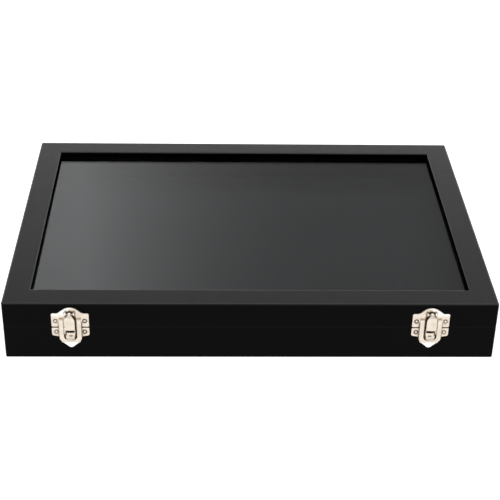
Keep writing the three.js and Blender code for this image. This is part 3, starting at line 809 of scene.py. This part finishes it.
def strapShell():
    # Rows run along the line and columns across it. With c a column's share of the half width, the face
    # swells by crown (1 - c^2), which turns into a hollow in the lip. The slot's faces are left out.
    roll, curve = strapLine()
    line = np.vstack([roll, curve])
    run = np.concatenate([[0], np.cumsum(np.linalg.norm(np.diff(line, axis=0), axis=1))])
    rollEnd = run[len(roll)]
    slotAt = np.interp([-h for h in strap["slot"]], -line[len(roll):, 1], run[len(roll):])
    even = np.concatenate([np.linspace(0, rollEnd, 20), np.linspace(rollEnd, run[-1], 76)[1:]])
    even = even[np.min(np.abs(even[:, None] - slotAt[None, :]), 1) > 0.09]
    rows = np.sort(np.concatenate([even, slotAt]))
    proud, height = np.interp(rows, run, line[:, 0]), np.interp(rows, run, line[:, 1])
    half = np.where(rows < rollEnd, strap["neck"], np.interp(height, strap["levels"], strap["halves"]))
    edge = strap["slotHalf"] / strap["half"]
    columns = np.concatenate([[-1, -0.93], np.linspace(-edge, edge, 15), [0.93, 1]])
    x = half[:, None] * columns
    rolled = np.clip((rows - rollEnd) / strap["crownRun"], 0, 1)[:, None]
    lip = np.clip((strap["lipFrom"] - height) / strap["lipRun"], 0, 1)[:, None]
    bulge = strap["crown"] * rolled * (1 - columns ** 2) * (1 - strap["lipHollow"] * lip)
    points = np.stack([x, proud[:, None] + bulge, height[:, None] + 0 * x], -1)
    index = np.arange(points.shape[0] * points.shape[1]).reshape(points.shape[:2])
    quads = np.stack([index[:-1, :-1], index[:-1, 1:], index[1:, 1:], index[1:, :-1]], -1)
    inRow = (rows[:-1] > slotAt[0] - 1e-6) & (rows[1:] < slotAt[1] + 1e-6)
    inColumn = np.abs((columns[:-1] + columns[1:]) / 2) < edge
    keep = ~(inRow[:, None] & inColumn[None, :])
    return points.reshape(-1, 3), quads[keep], []


nail = {"head": 1.1, "dome": 0.62, "shank": 0.5, "length": 6.0, "slot": 0.0, "lift": 0.12}
screw = {"head": 1.6, "dome": 0.7, "shank": 0.8, "length": 7.0, "slot": 0.42, "lift": -0.2}


def nailShell(size):
    # Shank, flat seat, domed head. The head dips along its slot by a share of its dome.
    head, dome, shank, length = size["head"], size["dome"], size["shank"], size["length"]
    a = np.linspace(0, math.pi / 2, 10)
    cap = np.stack([head * np.cos(a), dome * np.sin(a)], -1)
    cap[-1, 0] = 0
    shaft = np.array([
        (0, -length), (shank * 0.5, -length + 0.3), (shank, -length + 1), (shank, 0), (head * 0.96, 0),
    ])
    points, quads, caps = turnedShell(np.vstack([shaft, cap[1:]]), 40)
    dip = size["slot"] * dome * (np.abs(points[:, 0]) < 0.22 * head) * (points[:, 2] > 0.25 * dome)
    return points - np.stack([0 * dip, 0 * dip, dip], -1), quads, caps


def onFront(shell, x):
    points, quads, caps = shell
    return points * [1, -1, 1] + [x, -halfDepth, seam], quads, caps


def pinShell(radius, halfLength):
    # A rod whose profile ends in a quarter of an ellipse.
    a = np.linspace(0, math.pi / 2, 6)
    end = np.stack([radius * np.cos(a), halfLength - 0.25 + 0.25 * np.sin(a)], -1)
    end[-1, 0] = 0
    profile = np.vstack([end[::-1] * [1, -1], end])
    return turn(turnedShell(profile, 28), [2, 0, 1])


# Painted shade, light and highlights on the latches. Each pair is places and how strong the mark is
# there: heights are from the seam, and places across are from the latch's middle towards the case's end.
latchPaintedLight = {
    "grooveReach": ([8.5, 10.5, 13.5], [4.75, 3.4, 2.2]),  # half width by height
    "grooveDepth": ([-10.4, -10.0, 7.5, 9.5, 12.8, 13.4], [0, 1, 1, 0.7, 0.7, 0]),
    "grooveFloor": 2.3,
    "ringRadius": 1.35,
    "ringWidth": 0.65,
    "ringInner": 0.98,  # on the side of the case's middle
    "ringOuter": 0.62,
    "liftAcross": ([3.1, 3.5, 4.9, 5.2], [0, 1, 1, 0]),
    "liftHeight": ([-6.5, -5.0, 7.5, 9.0], [0, 1, 1, 0]),
    "legEnd": ([4.5, 5.1], [0, 1]),
    "legTop": 9.0,
    "legInner": 4.5,
    "legOuter": 8.4,
    "lugFoot": 10.8,
    "lugProud": 1.2,
    "tip": ([-13.6, -12.4], [1, 0]),
    "shoulderHeight": ([8.5, 11.5], [0, 1]),
    "shoulderAcross": ([-2.0, 2.0], [0, 1]),
    "shoulderMost": 0.8,
    "slotEnd": ([-5.82, -4.62, -3.18, -1.98], [0, 1, 1, 0]),
    "paintedLipShade": (-0.5, -5.4),
}


def makeLatch(side, x):
    outward = math.copysign(1.0, x)  # the way to the case's end

    def localPlaces(points):
        return (points[:, 0] - x) * outward, -halfDepth - points[:, 1], points[:, 2] - seam

    def paintedGrooveShade(points):
        # painted shade behind the strap, where the plates are low, and in the dishes round the nails
        across, proud, height = localPlaces(points)
        reach = np.interp(height, *latchPaintedLight["grooveReach"])
        darkened = np.clip((reach - np.abs(across)) / 0.3, 0, 1) * np.interp(height, *latchPaintedLight["grooveDepth"])
        darkened = darkened * np.clip((latchPaintedLight["grooveFloor"] - proud) / 0.5, 0, 1)
        for nailX, nailH in lidNails + baseNails:
            away = np.abs(np.hypot(across - nailX, height - nailH) - latchPaintedLight["ringRadius"])
            ring = np.clip(1.35 - away / latchPaintedLight["ringWidth"], 0, 1)
            darkened = np.maximum(darkened, ring * (latchPaintedLight["ringOuter"] if nailX > 0 else latchPaintedLight["ringInner"]))
        return darkened

    def paintedOuterLight(points):
        # painted light: the outer side of the groove, the ends of the legs and the lugs lose the painted
        # shade
        across, proud, height = localPlaces(points)
        outerSide = np.interp(across, *latchPaintedLight["liftAcross"]) * np.interp(height, *latchPaintedLight["liftHeight"])
        leg = (np.abs(across) > latchPaintedLight["legInner"]) * (np.abs(across) < latchPaintedLight["legOuter"])
        legEnd = leg * np.interp(height, *latchPaintedLight["legEnd"]) * (height < latchPaintedLight["legTop"])
        lugSide = 0.5 * (height > latchPaintedLight["lugFoot"]) * (proud > latchPaintedLight["lugProud"])
        return np.maximum(np.maximum(outerSide, legEnd), lugSide)

    def paintedGlint(points):
        # painted highlight on the foot's tip and the outer shoulder of the arch
        across, _, height = localPlaces(points)
        tip = np.interp(height, *latchPaintedLight["tip"])
        shoulder = np.interp(height, *latchPaintedLight["shoulderHeight"])
        shoulder = shoulder * np.interp(across, *latchPaintedLight["shoulderAcross"])
        return np.maximum(tip, latchPaintedLight["shoulderMost"] * shoulder)

    def paintedLipShade(points):
        # painted shade at the slot's outer end and a painted dark reflection in the hollow of the lip
        across, _, height = localPlaces(points)
        slotEnd = np.clip((across - 2.2) / 0.3, 0, 1) * np.interp(height, *latchPaintedLight["slotEnd"])
        spotX, spotH = latchPaintedLight["paintedLipShade"]
        hollow = np.clip(1 - np.hypot((across - spotX) / 1.9, (height - spotH) / 1.0), 0, 1)
        return np.maximum(slotEnd, hollow ** 0.5)

    def outerEdge(points):
        # painted light: the strap's outer edge loses the painted shade
        across, _, height = localPlaces(points)
        return np.clip((across - 2.9) / 0.3, 0, 1) * ((height > -2.0) | (height < -6.0))

    makePiece(f"{side}HaspPlate", [onFront(s, x) for s in haspShells()], nickel, "lid",
              [f"{side}_hasp_plate"], marks={"darkening": paintedGrooveShade, "shadeLifted": paintedOuterLight, "glint": paintedGlint})
    makePiece(f"{side}CatchPlate", [onFront(s, x) for s in catchShells()], nickel, "base",
              [f"{side}_catch_plate"], marks={"darkening": paintedGrooveShade, "shadeLifted": paintedOuterLight, "glint": paintedGlint})
    piece = makePiece(f"{side}Strap", [onFront(strapShell(), x)], nickel, f"{side}_strap",
                      [f"{side}_strap"], sharp=60, marks={"darkening": paintedLipShade, "shadeLifted": outerEdge})
    wall = piece.modifiers.new("sheet", "SOLIDIFY")
    wall.thickness, wall.offset, wall.use_even_offset = strap["thickness"] * mm, 0.0, True
    soft = piece.modifiers.new("soft edges", "BEVEL")
    soft.width, soft.segments, soft.harden_normals = strap["softEdge"] * mm, 2, True
    soft.limit_method, soft.angle_limit = "ANGLE", math.radians(55)
    pin = place(pinShell(strap["pinRadius"], strap["pinHalf"]), (0, *strap["pin"]))
    makePiece(f"{side}StrapPin", [onFront(pin, x)], nickel, "lid", [f"{side}_strap_pin"])
    seat = plate["face"] - plate["dimple"] + nail["lift"]
    for label, body, places in (("hasp", "lid", lidNails), ("catch", "base", baseNails)):
        for number, (nailX, nailH) in enumerate(places, 1):
            shell = place(turn(nailShell(nail), [0, 2, 1]), (nailX, seat, nailH))
            makePiece(f"{side}{label.capitalize()}Nail{number}", [onFront(shell, x)], nickel, body,
                      [f"{side}_{label}_nail_{number}"])


latchX = (boxOf("right_catch_plate")[0][0] + boxOf("right_catch_plate")[1][0]) / 2
makeLatch("left", -latchX)
makeLatch("right", latchX)
print("latches ready")

# Hinge places are across, back from the pin's centre, and height above it.
hinge = {
    "half": 12.5,
    "barrel": 1.5,
    "bore": 0.76,
    "pin": 0.7,
    "leafBack": -1.5,
    "leafFace": -0.7,
    "leafNear": 1.8,
    "leafFar": 12.0,
    "leafCorner": 1.8,
    "rimFrom": 0.96,
    "rimDrop": 0.22,
    "dish": 0.35,
    "dishRadius": 2.2,
    "knuckles": 5,
    "knuckleArc": (180, 520),
    "gap": 0.25,
    "screwAcross": 7.5,
    "screwUp": 7.0,
    "stop": [(-0.6, -3.4), (0.3, -3.4), (0.3, -0.9), (-0.6, -0.9)],  # the tab that ends the lid's swing
    "stopTurn": 105,
    "darkRing": 1.8,
    "darkBend": 1.9,
    "darkMost": 0.9,
}


def leafShells(up):
    # A leaf's face drops by rimDrop r^2 at its rim and by dish (1 - d^2) under each screw's head, with
    # r and d as on the latch plates.
    half, near, far, corner = hinge["half"], hinge["leafNear"], hinge["leafFar"], hinge["leafCorner"]
    corners = [(-half, near), (half, near), (half, far), (-half, far)]
    outline = spacedLoop(roundLoop(corners, [0.2, 0.2, corner, corner], 7), 0.35) * [1, up]

    def face(x, h, share):
        rim = np.clip((share - hinge["rimFrom"]) / (1 - hinge["rimFrom"]), 0, 1)
        height = hinge["leafFace"] - hinge["rimDrop"] * rim ** 2
        for screwX in (-hinge["screwAcross"], hinge["screwAcross"]):
            away = np.hypot(x - screwX, h - up * hinge["screwUp"]) / hinge["dishRadius"]
            height = height - hinge["dish"] * np.clip(1 - away ** 2, 0, 1)
        return height

    shares = np.concatenate([np.linspace(0, hinge["rimFrom"], 40), [0.975, 0.99, 1.0]])
    centre = np.array([0, up * (near + far) / 2])
    shells = [turn(fieldShell(outline, centre, shares, face, hinge["leafBack"]), [0, 2, 1])]
    # knuckle section: a tab from the leaf, rolled nearly all the way round the pin
    a = np.radians(np.linspace(*hinge["knuckleArc"], 44))
    arc = np.stack([np.cos(a), np.sin(a)], -1)
    outer, inner = hinge["barrel"] * arc, hinge["bore"] * arc[::-1]
    tab = np.array([(hinge["leafFace"] - 0.05, near + 0.5), (hinge["leafBack"], near + 0.5)])
    section = np.vstack([outer, inner, tab]) * [1, up]
    pitch = (2 * half + hinge["gap"]) / hinge["knuckles"]
    for i in range(1 if up > 0 else 0, hinge["knuckles"], 2):
        start = -half + i * pitch
        along = np.array([start, start + pitch - hinge["gap"]])[:, None]
        places = [along + 0 * section[:, 0], section[:, 0] + 0 * along, section[:, 1] + 0 * along]
        shells.append(ringShell(np.stack(places, -1)))
        if up > 0:
            c, s = math.cos(math.radians(hinge["stopTurn"])), math.sin(math.radians(hinge["stopTurn"]))
            stop = roundLoop(hinge["stop"], [0.3, 0.3, 0.05, 0.05]) @ np.array([[c, s], [-s, c]])
            shells.append(turn(slabShell(stop, along[0, 0], along[1, 0], 0.12), [2, 0, 1]))
    return shells


def makeHinge(side):
    low, high = boxOf(f"{side}_hinge_pin")
    centre = (low + high) / 2

    def put(shells):
        return [place(s, centre) for s in shells]

    def darkened(points):
        # darker round the screws and where the leaf bends into the knuckles
        across, height = points[:, 0] - centre[0], np.abs(points[:, 2] - centre[2])
        away = np.hypot(np.abs(across) - hinge["screwAcross"], height - hinge["screwUp"])
        ring = np.clip(1.3 - np.abs(away - hinge["darkRing"]) / 0.6, 0, 1)
        bend = np.clip(1.2 - np.abs(height - hinge["darkBend"]) / 0.7, 0, 1)
        return np.maximum(ring, bend) * hinge["darkMost"]

    makePiece(f"{side}HingeBaseLeaf", put(leafShells(-1)), nickel, "base",
              [f"{side}_hinge_base_leaf"], marks={"darkening": darkened})
    makePiece(f"{side}HingeLidLeaf", put(leafShells(1)), nickel, "lid",
              [f"{side}_hinge_lid_leaf"], marks={"darkening": darkened})
    makePiece(f"{side}HingePin", put([pinShell(hinge["pin"], hinge["half"])]), nickel, "base",
              [f"{side}_hinge_pin"])
    for label, up in (("base", -1), ("lid", 1)):
        for number, across in enumerate((-hinge["screwAcross"], hinge["screwAcross"]), 1):
            seat = hinge["leafFace"] + screw["lift"]
            shell = place(turn(nailShell(screw), [0, 2, 1]), (across, seat, up * hinge["screwUp"]))
            makePiece(f"{side}Hinge{label.capitalize()}Screw{number}", put([shell]), nickel, label,
                      [f"{side}_hinge_{label}_screw_{number}"])


makeHinge("left")
makeHinge("right")
print("hinges ready")

stageLook = {
    "floorColour": (0.42, 0.42, 0.42),
    "floorGlow": 0.97,
    "panelBright": 0.61,  # above the dark side's, at the left end
    "panelDark": 0.25,
    "panelFall": 2.6,
    "panelEnds": (0.3, -0.3),
    "panelHalf": 3.0,
    "panelAt": 1.5,
    "panelFoot": 0.02,
    "panelTop": 2.2,
    "floorHalf": 9.0,
    "room": 0.1,
    "overhead": 1.8,
    "lean": (0.0, -0.34, 0.94),
    "overheadFrom": 0.45,
    "horizon": 0.9,
    "horizonUp": (0.36, 0.2),  # its glow comes in and is full at these upward shares
}


def addPlane(name, corners, finish):
    mesh = bpy.data.meshes.new(name)
    mesh.from_pydata(corners, [], [(0, 1, 2, 3)])
    mesh.materials.append(finish)
    plane = bpy.data.objects.new(name, mesh)
    bpy.context.scene.collection.objects.link(plane)
    return plane


def makeStage():
    f = newFinish("paleFloor")
    floorFinish = f.done(f.surface(
        Base_Color=(*stageLook["floorColour"], 1.0),
        Roughness=0.9,
        Specular_IOR_Level=0.1,
        Emission_Color=(1.0, 1.0, 1.0, 1.0),
        Emission_Strength=stageLook["floorGlow"],
    ))
    far = stageLook["floorHalf"]
    addPlane("floor", [(-far, -far, 0), (far, -far, 0), (far, far, 0), (-far, far, 0)], floorFinish)
    f = newFinish("backPanel")
    across = f.node("ShaderNodeSeparateXYZ", {}, {0: f.place}, "X")
    dim, bright = stageLook["panelEnds"]
    share = f.node("ShaderNodeMapRange", {}, {"Value": across, "From Min": dim, "From Max": bright})
    glow = stageLook["panelDark"] + share ** stageLook["panelFall"] * stageLook["panelBright"]
    panelColour = f.node("ShaderNodeCombineColor", {}, {0: glow * 0.985, 1: glow * 0.985, 2: glow})
    panelFinish = f.done(f.surface(
        Base_Color=(0.0, 0.0, 0.0, 1.0),
        Specular_IOR_Level=0.0,
        Emission_Color=panelColour,
        Emission_Strength=1.0,
    ))
    wide, back, foot, top = (stageLook[key] for key in ("panelHalf", "panelAt", "panelFoot", "panelTop"))
    corners = [(-wide, back, foot), (wide, back, foot), (wide, back, top), (-wide, back, top)]
    panel = addPlane("backPanel", corners, panelFinish)
    panel.visible_camera = False  # it lights the case and shows in the glass only
    # a soft glow overhead, leaning to the front, that fades into a dim room
    world = bpy.data.worlds.new("studio")
    bpy.context.scene.world = world
    f = Finish(world, "Generated")
    towards = {0: f.place, 1: stageLook["lean"]}
    lean = f.node("ShaderNodeVectorMath", {"operation": "DOT_PRODUCT"}, towards, "Value")
    overhead = f.node("ShaderNodeMapRange", {"interpolation_type": "SMOOTHSTEP"},
                      {"Value": lean, "From Min": stageLook["overheadFrom"], "From Max": 1.0})
    upward = f.node("ShaderNodeSeparateXYZ", {}, {0: f.place}, "Z")
    comesIn, isFull = stageLook["horizonUp"]
    horizon = f.node("ShaderNodeMapRange", {"interpolation_type": "SMOOTHSTEP"},
                     {"Value": upward, "From Min": comesIn, "From Max": isFull})
    strength = stageLook["room"] + overhead * stageLook["overhead"] + horizon * stageLook["horizon"]
    roomColour = f.node("ShaderNodeCombineColor", {}, {0: strength, 1: strength, 2: strength})
    backdrop = f.node("ShaderNodeBackground", {}, {"Color": roomColour, "Strength": 1.0})
    f.done(backdrop, "ShaderNodeOutputWorld")


# two soft boxes behind the case graze its top; the glass is left out of their light, or it would
# turn white in a low view
softBoxes = {
    "lowBox": {"at": (0.5, 1.46, 0.27), "size": (2.7, 0.5), "power": 34.0},
    "highBox": {"at": (0.5, 1.46, 1.75), "size": (2.7, 0.9), "power": 84.0},
}


def makeSoftBoxes():
    lit = bpy.data.collections.new("litFromBehind")
    for piece in bpy.data.objects:
        if piece.type == "MESH" and piece.name not in ("glass_pane", "floor", "backPanel"):
            lit.objects.link(piece)
    for name, box in softBoxes.items():
        light = bpy.data.lights.new(name, "AREA")
        light.shape, light.size, light.size_y = "RECTANGLE", *box["size"]
        light.energy = box["power"]
        holder = bpy.data.objects.new(name, light)
        bpy.context.scene.collection.objects.link(holder)
        holder.location, holder.rotation_euler = box["at"], (-math.pi / 2, 0, 0)
        holder.visible_camera = False
        holder.light_linking.receiver_collection = lit


camera = {
    "at": (-0.0286399, -0.8634739, 0.5413868),
    "azimuth": 0.0360490,
    "elevation": 0.5479903,
    "roll": 0.0221201,
    "focal": 1268.950 / 500 * 36,
}


def makeCamera():
    data = bpy.data.cameras.new("camera")
    data.lens, data.sensor_width = camera["focal"], 36
    data.clip_start, data.clip_end = 0.01, 30
    holder = bpy.data.objects.new("camera", data)
    bpy.context.scene.collection.objects.link(holder)
    az, el, roll = camera["azimuth"], camera["elevation"], camera["roll"]
    ahead = np.array([math.sin(az) * math.cos(el), math.cos(az) * math.cos(el), -math.sin(el)])
    right = np.cross(ahead, [0, 0, 1])
    right /= np.linalg.norm(right)
    up = np.cross(right, ahead)
    across = math.cos(roll) * right + math.sin(roll) * up
    upward = -math.sin(roll) * right + math.cos(roll) * up
    holder.matrix_world = Matrix([[across[i], upward[i], -ahead[i], camera["at"][i]] for i in range(3)]
                                 + [[0, 0, 0, 1]])
    bpy.context.scene.camera = holder


makeStage()
makeSoftBoxes()
makeCamera()
bpy.context.scene.view_settings.view_transform = "Standard"
print("stage ready")
